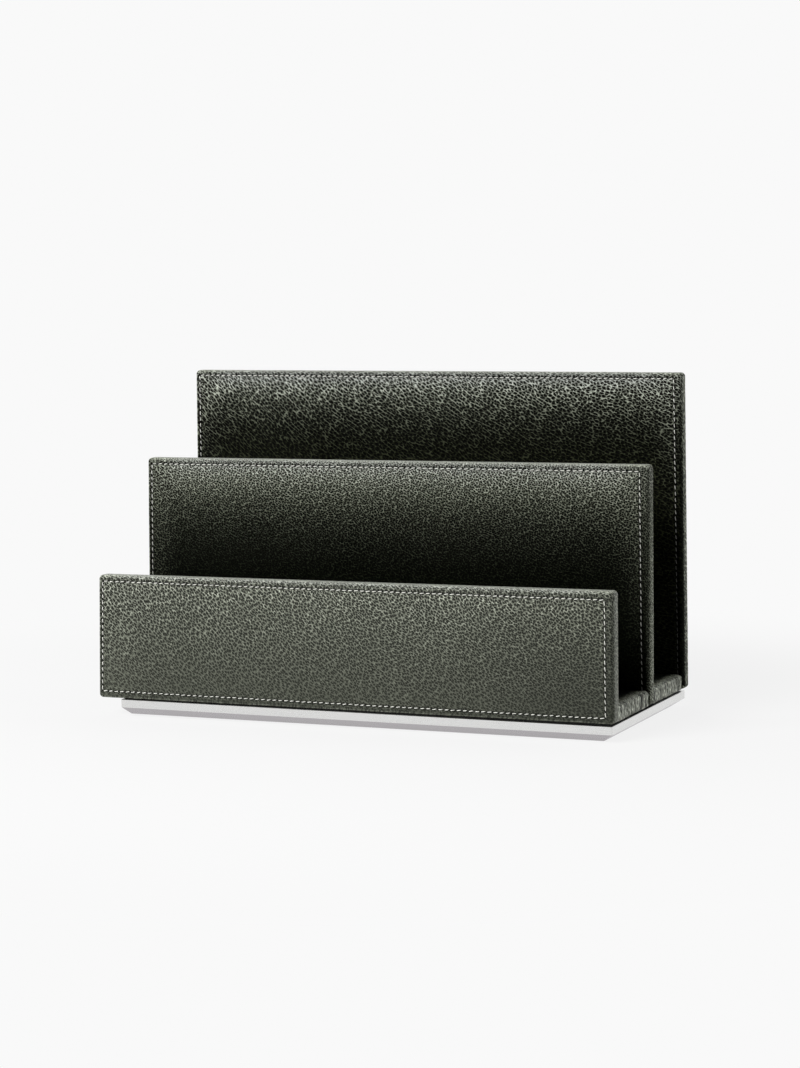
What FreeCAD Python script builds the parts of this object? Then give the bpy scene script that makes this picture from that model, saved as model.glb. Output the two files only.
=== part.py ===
import FreeCAD, Part
import os

# Three-panel envelope sorter: leather-wrapped boards on a chamfered metal plate.
#
# Millimetres, +Z up. The origin is on the desk, under the middle of the leather body.
# X runs along the panels, and Y runs from the low front panel to the tall rear one.

# ---- Driving dimensions -------------------------------------------------------------

# Panels and compartments
body_width = 250.0             # along X, the same for all three panels
front_panel_height = 57.4      # each height is measured from the underside of the panel
middle_panel_height = 108.1
rear_panel_height = 147.5
compartment_depth = 44.4       # clear space between two panels
panel_board_thickness = 6.0
panel_corner_radius = 2.2      # corners of a panel seen from the front
panel_edge_radius = 1.7        # from a face of a panel round to its edge

# Leather
leather_thickness = 1.0
skived_thickness = 0.4         # leather thinned where it is turned over a board
turn_in_width = 12.0           # how far it is turned over, from the panel's edge
lining_margin = 3.0            # border of wrapped leather left round a back lining
lining_corner_radius = 1.5
lining_clearance = 0.1
stitch_inset = 3.3             # from the panel's edge to the middle of the seam
stitch_channel_width = 1.0
stitch_channel_depth = 0.25

# Floors of the compartments
floor_board_thickness = 6.0
floor_end_recess = 0.4         # floors end this far inside the ends of the panels
floor_end_radius = 1.6         # where the leather turns down over a floor's end
floor_turn_under = 14.0        # how far that leather runs on under the floor
floor_fit_clearance = 0.1      # between a floor and the panel beside it

# Metal base plate and what lies between it and the leather body
plate_thickness = 7.3
plate_inset_left = 10.5
plate_inset_right = 1.0
plate_inset_front = 1.0
plate_inset_rear = 1.0
plate_corner_radius = 0.8
plate_top_bevel = 0.3
chamfer_height = 3.6           # bevel round the lower edge of the plate
chamfer_depth = 5.5
spacer_thickness = 1.0         # black board that leaves a shadow line all round
spacer_inset = 1.6

# Felt under the plate
felt_thickness = 1.5
felt_proud = 0.5               # the felt stands this far below the metal
felt_margin = 7.0              # metal rim left round the felt
felt_corner_radius = 4.0
felt_clearance = 0.2

# Countersunk screws up through the plate into the floors
screw_diameter = 3.5
screw_head_diameter = 7.0
screw_head_height = 2.0
screw_bite = 4.5               # length inside a floor board
screw_socket_width = 2.4       # square drive
screw_socket_depth = 1.4
screw_end_margin = 30.0        # from an end of the plate to its first screw
screws_per_floor = 2
screw_clearance = 0.2
thread_clearance = 0.05

# Loose plywood tongues, glued into slots, that join the floors to the panels
tongue_length = 40.0           # along X
tongue_thickness = 2.0
tongue_rise = 3.4              # from the underside of the body to the middle of a tongue
tongue_depth_in_floor = 12.0
tongue_depth_in_panel = 4.0
tongue_end_margin = 22.0       # from an end of the body to its first tongue
tongues_per_joint = 3
tongue_clearance = 0.05

# ---- Derived sizes and places -------------------------------------------------------

panel_thickness = panel_board_thickness + 2 * leather_thickness
panel_pitch = panel_thickness + compartment_depth
body_depth = 3 * panel_thickness + 2 * compartment_depth

half_width = body_width / 2
front_panel_y = -body_depth / 2
middle_panel_y = front_panel_y + panel_pitch
rear_panel_y = middle_panel_y + panel_pitch
front_floor_y = front_panel_y + panel_thickness
rear_floor_y = middle_panel_y + panel_thickness

felt_recess_depth = felt_thickness - felt_proud
plate_bottom = felt_proud
plate_top = plate_bottom + plate_thickness
body_bottom = plate_top + spacer_thickness
screw_seat = plate_bottom + felt_recess_depth
tongue_height = body_bottom + tongue_rise

plate_left = -half_width + plate_inset_left
plate_right = half_width - plate_inset_right
plate_front = -body_depth / 2 + plate_inset_front
plate_rear = body_depth / 2 - plate_inset_rear

widest_fillet_share = 0.45     # a fillet takes at most this much of the wall it rounds
edge_radius = min(panel_edge_radius, widest_fillet_share * panel_thickness,
                  2 * widest_fillet_share * panel_corner_radius)
smallest_fillet = 0.05
cut_overrun = 1.0              # cutting tools reach this far past the faces they open

X_AXIS = FreeCAD.Vector(1, 0, 0)
Y_AXIS = FreeCAD.Vector(0, 1, 0)
Z_AXIS = FreeCAD.Vector(0, 0, 1)


# ---- Small modelling helpers --------------------------------------------------------

def box(x0, x1, y0, y1, z0, z1):
    """Block between two opposite corners."""
    return Part.makeBox(x1 - x0, y1 - y0, z1 - z0, FreeCAD.Vector(x0, y0, z0))


def spread(first, last, count):
    """Evenly spaced places from the first to the last."""
    step = (last - first) / (count - 1)
    return [first + index * step for index in range(count)]


def edges_along(shape, axis):
    """Straight edges parallel to an axis."""
    def parallel(edge):
        if not isinstance(edge.Curve, Part.Line):
            return False
        return edge.tangentAt(edge.FirstParameter).cross(axis).Length < 1e-6
    return [edge for edge in shape.Edges if parallel(edge)]


def edges_in_plane(shape, axis, place):
    """Edges that lie in the plane at one place on an axis."""
    def inside(edge):
        return all(abs(vertex.Point.dot(axis) - place) < 1e-6 for vertex in edge.Vertexes)
    return [edge for edge in shape.Edges if inside(edge)]


def fillet(shape, radius, edges):
    """Round the edges, or leave them sharp where hardly any radius is left."""
    if radius < smallest_fillet:
        return shape
    return shape.makeFillet(radius, edges)


def bevel(shape, leg, edges):
    """Bevel the edges, or leave them sharp where hardly any leg is left."""
    if leg < smallest_fillet:
        return shape
    return shape.makeChamfer(leg, edges)


def rounded_block(x0, x1, y0, y1, z0, z1, axis, radius):
    """Block with its four corners rounded round one axis."""
    block = box(x0, x1, y0, y1, z0, z1)
    return fillet(block, radius, edges_along(block, axis))


def countersunk_screw(x, y):
    """Countersunk wood screw, head down, with a square socket for the driver."""
    seat = FreeCAD.Vector(x, y, screw_seat)
    neck = seat + Z_AXIS * screw_head_height
    half_socket = screw_socket_width / 2
    head = Part.makeCone(screw_head_diameter / 2, screw_diameter / 2, screw_head_height, seat)
    shank = Part.makeCylinder(screw_diameter / 2, body_bottom + screw_bite - neck.z, neck)
    socket = box(x - half_socket, x + half_socket, y - half_socket, y + half_socket,
                 screw_seat - cut_overrun, screw_seat + screw_socket_depth)
    return head.fuse(shank).cut(socket)


# ---- Places of the fasteners --------------------------------------------------------

def screw_places():
    """Middle of each screw: a row of them under each floor."""
    rows = [floor_y + compartment_depth / 2 for floor_y in (front_floor_y, rear_floor_y)]
    columns = spread(plate_left + screw_end_margin, plate_right - screw_end_margin,
                     screws_per_floor)
    return [(x, y) for y in rows for x in columns]


def tongue_row(y_start, y_end, clearance):
    """One flat tongue for each place of a joint, from y_start to y_end."""
    outermost = half_width - tongue_end_margin - tongue_length / 2
    half_length = tongue_length / 2 + clearance
    half_height = tongue_thickness / 2 + clearance
    return [box(x - half_length, x + half_length, y_start - clearance, y_end + clearance,
                tongue_height - half_height, tongue_height + half_height)
            for x in spread(-outermost, outermost, tongues_per_joint)]


def joint_reaches():
    """Where the tongues of the front, middle and rear joint begin and end along Y."""
    in_front = (front_floor_y - leather_thickness - tongue_depth_in_panel,
                front_floor_y + tongue_depth_in_floor)
    through_middle = (middle_panel_y - tongue_depth_in_floor,
                      rear_floor_y + tongue_depth_in_floor)
    in_rear = (rear_panel_y - tongue_depth_in_floor,
               rear_panel_y + leather_thickness + tongue_depth_in_panel)
    return {"front": in_front, "middle": through_middle, "rear": in_rear}


def tongue_slots():
    """Slots for every tongue, cut from whatever the tongues pass through."""
    slots = []
    for y_start, y_end in joint_reaches().values():
        slots += tongue_row(y_start, y_end, tongue_clearance)
    return slots


def screw_holes(radius, z0, z1):
    """A straight hole for each screw between two heights."""
    return [Part.makeCylinder(radius, z1 - z0, FreeCAD.Vector(x, y, z0))
            for x, y in screw_places()]


# ---- Panels -------------------------------------------------------------------------

def inset_sheet(height, inset, y0, y1, radius):
    """Flat sheet parallel to a panel and drawn in from its outline."""
    return rounded_block(-half_width + inset, half_width - inset, y0, y1,
                         body_bottom + inset, body_bottom + height - inset, Y_AXIS, radius)


def panel_slab(y0, height):
    """Whole panel in its leather: corners and edges rounded."""
    y1 = y0 + panel_thickness
    slab = inset_sheet(height, 0, y0, y1, panel_corner_radius)
    return fillet(slab, edge_radius, edges_in_plane(slab, Y_AXIS, y0)
                  + edges_in_plane(slab, Y_AXIS, y1))


def panel_core(y0, height):
    """Board of a panel: the same outline, one leather thickness in, with bevelled edges."""
    y1 = y0 + panel_thickness - leather_thickness
    core = inset_sheet(height, leather_thickness, y0 + leather_thickness, y1,
                       panel_corner_radius - leather_thickness)
    return bevel(core, edge_radius - leather_thickness,
                 edges_in_plane(core, Y_AXIS, y0 + leather_thickness)
                 + edges_in_plane(core, Y_AXIS, y1))


def panel_board(y0, height):
    """Fibreboard core, inside the leather on every side."""
    return panel_core(y0, height).cut(tongue_slots())


def lining_space(y0, height, clearance):
    """Room for the back lining: a full sheet with a thinner border over the turned leather."""
    back = y0 + panel_thickness
    board_back = back - leather_thickness
    sheet = inset_sheet(height, lining_margin + clearance, board_back + skived_thickness,
                        back, lining_corner_radius)
    middle = inset_sheet(height, turn_in_width + clearance, board_back, back, 0)
    return sheet.fuse(middle).removeSplitter()


def stitch_channel(y0, height):
    """Shallow channel round the face, in which the seam lies."""
    outer_inset = stitch_inset - stitch_channel_width / 2
    inner_inset = stitch_inset + stitch_channel_width / 2
    outer = inset_sheet(height, outer_inset, y0 - cut_overrun, y0 + stitch_channel_depth,
                        stitch_channel_width)
    inner = inset_sheet(height, inner_inset, y0 - cut_overrun, y0 + stitch_channel_depth, 0)
    return outer.cut(inner)


def panel_cover(y0, height):
    """Leather over the face and all four edges, turned in over the back of the board."""
    wrap = panel_slab(y0, height)
    wrap = wrap.cut([panel_core(y0, height), lining_space(y0, height, 0),
                     stitch_channel(y0, height)])
    return wrap.cut(tongue_slots())


def panel_lining(y0, height):
    """Leather sheet on the back of a panel, laid over the turned-in border."""
    return lining_space(y0, height, lining_clearance).cut(tongue_slots())


# ---- Floors -------------------------------------------------------------------------

def floor_outline(y0, shrink, top):
    """Floor of a compartment with its upper and lower end edges rounded."""
    end = half_width - floor_end_recess - shrink
    slab = box(-end, end, y0 + floor_fit_clearance,
               y0 + compartment_depth - floor_fit_clearance, body_bottom, top)
    radius = min(floor_end_radius, widest_fillet_share * (top - body_bottom)) - shrink
    upper = [edge for edge in edges_along(slab, Y_AXIS) if edge.Vertexes[0].Z == top]
    return fillet(slab, radius, upper)


def turned_under(y0):
    """Thin leather under each end of a floor, let into the board."""
    end = half_width - floor_end_recess
    flaps = []
    for x0, x1 in ((-end, -end + floor_turn_under), (end - floor_turn_under, end)):
        flaps.append(box(x0, x1, y0, y0 + compartment_depth, body_bottom,
                         body_bottom + skived_thickness))
    return flaps


def floor_board(y0):
    """Fibreboard under the leather, rebated at both ends for the turned leather."""
    board = floor_outline(y0, leather_thickness, body_bottom + floor_board_thickness)
    pilots = screw_holes(screw_diameter / 2 + thread_clearance, body_bottom - cut_overrun,
                         body_bottom + screw_bite + thread_clearance)
    return board.cut(turned_under(y0) + pilots + tongue_slots())


def floor_cover(y0):
    """Leather over the floor and down both ends, turned under them."""
    top = body_bottom + floor_board_thickness + leather_thickness
    core = floor_outline(y0, leather_thickness, body_bottom + floor_board_thickness)
    skin = floor_outline(y0, 0, top).cut(core)
    flaps = [flap.common(core) for flap in turned_under(y0)]
    return skin.fuse(flaps).removeSplitter()


# ---- Base ---------------------------------------------------------------------------

def plate_outline(inset, z, radius):
    """Closed rounded rectangle of the plate, drawn in all round."""
    block = rounded_block(plate_left + inset, plate_right - inset, plate_front + inset,
                          plate_rear - inset, z, z + cut_overrun, Z_AXIS, radius)
    rim = edges_in_plane(block, Z_AXIS, z)
    return Part.Wire(Part.__sortEdges__(rim))


def base_plate():
    """Metal plate: upright sides over a mitred bevel, with a recess for the felt below."""
    foot = plate_outline(chamfer_depth, plate_bottom, plate_corner_radius)
    waist = plate_outline(0, plate_bottom + chamfer_height, plate_corner_radius)
    lower = Part.makeLoft([foot, waist], True, True)
    sides = Part.Face(waist).extrude(Z_AXIS * (plate_thickness - chamfer_height))
    plate = lower.fuse(sides).removeSplitter()
    plate = bevel(plate, plate_top_bevel, edges_in_plane(plate, Z_AXIS, plate_top))
    recess = felt_block(0, plate_bottom - cut_overrun, screw_seat)
    bores = screw_holes(screw_diameter / 2 + screw_clearance, screw_seat - cut_overrun,
                        plate_top + cut_overrun)
    sinks = [Part.makeCone(screw_head_diameter / 2 + thread_clearance,
                           screw_diameter / 2 + thread_clearance, screw_head_height,
                           FreeCAD.Vector(x, y, screw_seat)) for x, y in screw_places()]
    return plate.cut([recess] + bores + sinks)


def felt_block(clearance, z0, z1):
    """Outline of the felt and of its recess between two heights."""
    inset = chamfer_depth + felt_margin + clearance
    return rounded_block(plate_left + inset, plate_right - inset, plate_front + inset,
                         plate_rear - inset, z0, z1, Z_AXIS, felt_corner_radius)


def base_felt():
    """Felt pad that the sorter stands on."""
    return felt_block(felt_clearance, 0, felt_thickness)


def spacer_board():
    """Thin black board between the plate and the body, set back to leave a shadow line."""
    board = box(plate_left + spacer_inset, plate_right - spacer_inset,
                plate_front + spacer_inset, plate_rear - spacer_inset, plate_top, body_bottom)
    holes = screw_holes(screw_diameter / 2 + screw_clearance, plate_top - cut_overrun,
                        body_bottom + cut_overrun)
    return board.cut(holes)


# ---- Fasteners ----------------------------------------------------------------------

def base_screws():
    """All the screws that hold the plate to the floors."""
    return Part.makeCompound([countersunk_screw(x, y) for x, y in screw_places()])


def joint_tongues(joint):
    """The tongues of one joint between a panel and the floors beside it."""
    y_start, y_end = joint_reaches()[joint]
    return Part.makeCompound(tongue_row(y_start, y_end, 0))


# ---- Assembly -----------------------------------------------------------------------

panels = {
    "front": (front_panel_y, front_panel_height),
    "middle": (middle_panel_y, middle_panel_height),
    "rear": (rear_panel_y, rear_panel_height),
}
floors = {"front": front_floor_y, "rear": rear_floor_y}

parts = {
    "base_plate": base_plate(),
    "base_felt": base_felt(),
    "spacer_board": spacer_board(),
    "base_screws": base_screws(),
}
for name, (panel_y, panel_height) in panels.items():
    parts[name + "_panel_board"] = panel_board(panel_y, panel_height)
    parts[name + "_panel_cover"] = panel_cover(panel_y, panel_height)
    parts[name + "_panel_lining"] = panel_lining(panel_y, panel_height)
    parts[name + "_joint_tongues"] = joint_tongues(name)
for name, floor_y in floors.items():
    parts[name + "_floor_board"] = floor_board(floor_y)
    parts[name + "_floor_cover"] = floor_cover(floor_y)

os.makedirs("parts", exist_ok=True)
for name, shape in parts.items():
    shape.exportStep("parts/" + name + ".step")
    print(name, "solids", len(shape.Solids), "volume", round(shape.Volume, 1), shape.isValid())
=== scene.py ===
import math
from collections import namedtuple
from itertools import product

import bmesh
import bpy
import numpy as np
from mathutils import Matrix, Vector


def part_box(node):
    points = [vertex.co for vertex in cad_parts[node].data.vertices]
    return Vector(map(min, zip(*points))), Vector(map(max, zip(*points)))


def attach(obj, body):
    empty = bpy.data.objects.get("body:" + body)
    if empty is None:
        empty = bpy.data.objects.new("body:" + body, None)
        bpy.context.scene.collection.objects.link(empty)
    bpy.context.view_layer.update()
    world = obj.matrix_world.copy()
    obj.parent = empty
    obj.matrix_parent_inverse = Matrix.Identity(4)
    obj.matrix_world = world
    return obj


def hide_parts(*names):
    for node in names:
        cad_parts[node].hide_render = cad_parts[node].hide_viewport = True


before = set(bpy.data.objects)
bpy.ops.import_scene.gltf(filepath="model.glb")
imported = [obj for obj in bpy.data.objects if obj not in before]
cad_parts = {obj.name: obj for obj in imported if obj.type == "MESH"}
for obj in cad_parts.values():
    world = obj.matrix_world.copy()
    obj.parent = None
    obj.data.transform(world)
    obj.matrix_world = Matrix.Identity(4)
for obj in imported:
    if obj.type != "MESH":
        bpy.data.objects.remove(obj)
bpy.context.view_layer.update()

MM = 0.001

# ---- Sizes of the leatherwork, in metres --------

EDGE_RADIUS = 1.9 * MM     # round the edges and corners of a panel
EDGE_STEPS = 4             # mesh rows from the middle of a rounded edge to a face
GRID = 0.82 * MM           # mesh spacing over a panel, and through its thickness
DEPTH_GRID = 0.7 * MM
COARSE_GRID = 3.0 * MM     # over linings, floors and felt
SEAM_GRID = 0.3 * MM       # across the seam, between these distances from an edge
SEAM_ZONE = (1.5 * MM, 5.4 * MM)
HAIR = 1e-7                # places no further apart than this count as the same

# From a panel's left, right, bottom and top edge to its seam, in millimetres, at both ends
# of each edge: bottom then top, or left then right.
SEAM_INSETS = {
    "front": ((2.1, 2.5), (3.9, 4.1), (3.3, 2.6), (2.9, 3.7)),
    "middle": ((2.5, 2.5), (3.6, 4.4), (3.0, 3.3), (2.8, 3.0)),
    "rear": ((2.5, 2.5), (3.1, 3.7), (3.2, 3.6), (2.4, 2.8)),
}
# How far each corner of a panel's face is from square, in millimetres along X and Z, in
# order round it from the lower left.
OUT_OF_SQUARE = {
    "front": [(-0.6, 0), (0, -0.3), (0, 0), (0.6, -0.1)],
    "middle": [(-1.5, 0), (0, 0), (0, 0), (0, 0)],
    "rear": [(-0.6, 0), (0.8, 0), (-0.3, -0.4), (0.4, 0.6)],
}
SEAM_HALF_WIDTH = 0.85 * MM
SEAM_DEPTH = 0.34 * MM
HOLE_DEPTH = 0.14 * MM     # the channel dips this much more at each needle hole
BORDER_PUFF = 0.20 * MM    # leather between the seam and the edge swells this much
LUMP_HEIGHT = 0.20 * MM    # the leather bulges beside each stitch, inside the seam
LUMP_INSET = 1.05 * MM
LUMP_REACH = 0.62 * MM
UNDULATION = 0.07 * MM     # slow rise and fall of the leather over the board
LONG_WAVE = 22 * MM
SHORT_WAVE = 9 * MM        # half as high
CREPE = 0.03 * MM          # a small unevenness on it
CREPE_WAVE = 3.2 * MM
STRETCHED = 8 * MM         # nearer to an edge it is less, down to this share
STRETCHED_SHARE = 0.35
FLAT_BACK = 0.6 * MM       # there is none this near to a panel's back

TOP_WEAR_AND_HIGHLIGHT = 0.85            # rubbing plus painted highlight on tops, and rubbing of other edges
RIM_WEAR = 0.22
RIM_SLOPE = 2.2            # how sharply the rubbing keeps to an edge's middle, and
RIM_START = 0.4            # how far from the flat it starts
CHANNEL_DARK = 0.75        # painted shade in the channel, on the blotched border outside it and on the front corner of a panel's right end
BORDER_DARK = 0.60         # and of the front corner of a panel's right end
CORNER_DARK = 0.5
BLOTCH = 2.2 * MM
# Painted light on a panel's ends, carried by the worn mark: at the foot, at the top, the
# share of it at the front corner, and the power with which it grows towards the back.
END_PAINTED_LIGHT = {"front": (0.44, 0.20, 0.4, 1.5), "middle": (0.50, 0.125, 0.4, 1.5),
            "rear": (0.34, 0.42, 0.15, 1.7)}
END_LIGHT_BACK = 1.9        # the share of it at the back
END_ROUND = 1.8            # how closely it keeps to the flat of the end, and how much
END_NARROW = {"front": 0, "middle": 0, "rear": 25}  # more so at the foot
BACK_WORN = 0.6            # rubbing and dye of the border round the lining
BACK_DARK = 0.85

HOLE_RADIUS = 0.36 * MM    # needle holes between the stitches
HOLE_RIM = 0.36 * MM       # depth of a hole's rim and of its floor behind the face
HOLE_FLOOR = 0.42 * MM
HOLE_SIDES = 8

STITCH_PITCH = 2.88 * MM
STITCH_LENGTH = 2.05 * MM
THREAD_RADIUS = 0.185 * MM
THREAD_END = 0.15          # share of the radius left at a stitch's ends
THREAD_RISE = -0.10 * MM   # middle of a thread above the face of the panel
THREAD_DIVE = 0.28 * MM    # its ends go this far down into their holes
THREAD_TILT = math.radians(8)
TILT_WOBBLE = math.radians(2)  # spread of the tilt and of the place of single stitches
STITCH_WOBBLE = 0.04 * MM
THREAD_SHADE = {"front": 0.0, "middle": 0.75, "rear": 0.97}  # painted shade towards the panel's foot
THREAD_SIDES = 7
THREAD_RINGS = 8

LINING_MARGIN = 3.0 * MM   # border of the cover round a back lining
LINING_RECESS = 0.5 * MM
LINING_BEDDED = 0.4 * MM   # a lining's thickness below the floor of its recess
LINING_GAP = 0.12 * MM
LINING_RADIUS = 0.35 * MM
LINING_RISE = 0.04 * MM    # its slow unevenness
LINING_WAVE = 18 * MM

FLOOR_RADIUS = 1.3 * MM    # a floor's leather turns down over its ends
FLOOR_SIDE_RADIUS = 0.4 * MM
TURN_REACH = 4 * MM        # the turn starts this far in, and its top is this much lower
END_DROP = 0.25 * MM
WRINKLE_DEPTH = 0.42 * MM  # wrinkles there, this far in from the ends
WRINKLE_REACH = 7 * MM
WRINKLES = ((1.5 * MM, 0.7), (3.1 * MM, 0.5), (0.75 * MM, 0.35))  # widths and shares
WRINKLE_DRAW = 0.22        # they are drawn out down the ends
WRINKLE_ROWS = (1.8 * MM, 9 * MM, 0.6 * MM)  # mesh rows there: first, last and spacing

PLATE_CORNER = 0.8 * MM    # radius of its corners in plan
PLATE_CORNER_STEPS = 6
PLATE_EDGE = 0.12 * MM     # its broken edges
PLATE_TILT = (0.45 * MM, -0.3 * MM)  # it sits a little out of level, left and right
CHAMFER_HEIGHT = 3.6 * MM
CHAMFER_DEPTH = 5.5 * MM
CHAMFER_DEPTH_LEFT = 2.2 * MM

PANELS = ("front", "middle", "rear")
FLOORS = ("front", "rear")


# ---- Mesh helpers -------------------------------

NOISE_VALUES = 4096
HASH_PRIMES = (73856093, 19349663, 83492791)
BACK_SHEET = 3             # a box's far Y side, as box_sheets counts them


def value_noise(points, cell, seed):
    """Smooth noise from -1 to 1 at each point, with features of about the cell's size."""
    table = np.random.RandomState(seed).rand(NOISE_VALUES) * 2 - 1
    place = points / cell
    base = np.floor(place).astype(np.int64)
    part = place - base
    part = part * part * (3 - 2 * part)
    total = np.zeros(len(points))
    for corner in product((0, 1), repeat=3):
        keys = np.bitwise_xor.reduce((base + corner) * HASH_PRIMES, axis=1)
        weights = np.prod(np.where(corner, part, 1 - part), axis=1)
        total += table[keys % NOISE_VALUES] * weights
    return total


def side_samples(low, high, radius, extra, spacing):
    """Places of the mesh rows along one axis: rounded ends, extra rows, then even ones."""
    rounding = radius * (1 - np.tan(np.linspace(math.pi / 4, 0, EDGE_STEPS + 1)))
    near = np.unique(np.round(np.concatenate([rounding, extra]), 9))
    near = near[near < (high - low) / 2]
    start, end = low + near[-1], high - near[-1]
    count = max(1, int(math.ceil((end - start) / spacing)))
    middle = np.linspace(start, end, count + 1)
    return np.concatenate([low + near[:-1], middle, (high - near[:-1])[::-1]])


def box_sheets(samples):
    """The six sides of a box as grids of points: both sides across X, then Y, then Z."""
    sheets = []
    for axis in range(3):
        others = [k for k in range(3) if k != axis]
        first, second = (samples[k] for k in others)
        for fixed in (samples[axis][0], samples[axis][-1]):
            grid = np.empty((len(first), len(second), 3))
            grid[..., axis] = fixed
            grid[..., others[0]] = first[:, None]
            grid[..., others[1]] = second[None, :]
            sheets.append(grid)
    return sheets


def sink_middle(ids, keep, samples, low, high, margin, first_new):
    """Opens a sheet within a margin, and closes it with walls and a floor.

    ids numbers its points, and keep says which of its faces stay. Returns the points round
    the opening, whose sunk copies are numbered from first_new, and the new faces.
    """
    inner = [np.nonzero((samples[k] > low[k] + margin - HAIR)
                        & (samples[k] < high[k] - margin + HAIR))[0] for k in (0, 2)]
    (x0, x1), (z0, z1) = ((rows[0], rows[-1]) for rows in inner)
    keep[x0:x1, z0:z1] = False
    loop = ([ids[i, z0] for i in range(x0, x1)] + [ids[x1, j] for j in range(z0, z1)]
            + [ids[i, z1] for i in range(x1, x0, -1)]
            + [ids[x0, j] for j in range(z1, z0, -1)])
    sunk = [first_new + k for k in range(len(loop))]
    faces = []
    for k, number in enumerate(loop):
        after = (k + 1) % len(loop)
        faces.append((number, loop[after], sunk[after], sunk[k]))
    faces.append(tuple(sunk))
    return loop, faces


def rounded_box(low, high, radius, samples, recess=None):
    """Closed box mesh with rounded edges, as a grid on each side.

    Returns the points on the sharp box, the same points rounded, their outward normals
    and the faces. recess = (margin, depth) sinks the middle of the far Y side.
    """
    sheets = box_sheets(samples)
    everything = np.concatenate([grid.reshape(-1, 3) for grid in sheets])
    points, numbers = np.unique(np.round(everything, 8), axis=0, return_inverse=True)
    numbers = numbers.ravel()
    faces = []
    start = 0
    loop = []
    for side, grid in enumerate(sheets):
        rows, columns = grid.shape[:2]
        ids = numbers[start:start + rows * columns].reshape(rows, columns)
        start += rows * columns
        keep = np.ones((rows - 1, columns - 1), bool)
        if recess and side == BACK_SHEET:
            loop, walls = sink_middle(ids, keep, samples, low, high, recess[0], len(points))
            faces.extend(walls)
        quads = np.stack([ids[:-1, :-1], ids[1:, :-1], ids[1:, 1:], ids[:-1, 1:]], -1)[keep]
        faces.extend(map(tuple, quads))
    inner = np.clip(points, np.array(low) + radius, np.array(high) - radius)
    normals = points - inner
    normals /= np.maximum(np.linalg.norm(normals, axis=1), 1e-12)[:, None]
    rounded = inner + normals * radius
    if loop:
        sunk = points[loop] - np.array([0, recess[1], 0])
        points = np.concatenate([points, sunk])
        rounded = np.concatenate([rounded, sunk])
        normals = np.concatenate([normals, np.tile([0.0, 1.0, 0.0], (len(sunk), 1))])
    return points, rounded, normals, faces


def even_box(low, high, radius, spacings):
    """Rounded box with evenly spaced mesh rows, by the spacings along X, Y and Z."""
    samples = [side_samples(*span, radius, [], spacing)
               for *span, spacing in zip(low, high, spacings)]
    return rounded_box(low, high, radius, samples)


def new_object(name, data):
    """New object of the scene, with a mesh, a camera or a lamp as its data."""
    made = bpy.data.objects.new(name, data)
    bpy.context.scene.collection.objects.link(made)
    return made


def make_piece(name, points, faces, material, replaced=(), sharp_angle=0.9, marks=None):
    """New object of the model: smooth-shaded, sharp only at its real corners.

    marks gives a value from 0 to 1 at each point for the material to read, by name.
    """
    mesh = bpy.data.meshes.new(name)
    mesh.from_pydata([tuple(p) for p in points], [], faces)
    for mark, values in (marks or {}).items():
        mesh.attributes.new(mark, "FLOAT", "POINT").data.foreach_set("value", values)
    work = bmesh.new()
    work.from_mesh(mesh)
    bmesh.ops.recalc_face_normals(work, faces=work.faces)
    for edge in work.edges:
        if len(edge.link_faces) == 2 and edge.calc_face_angle(0) > sharp_angle:
            edge.smooth = False
    for face in work.faces:
        face.smooth = True
    work.to_mesh(mesh)
    work.free()
    mesh.materials.append(material)
    piece = new_object(name, mesh)
    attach(piece, "root")
    if replaced:
        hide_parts(*replaced)
    return piece


# ---- Materials ----------------------------------

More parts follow.
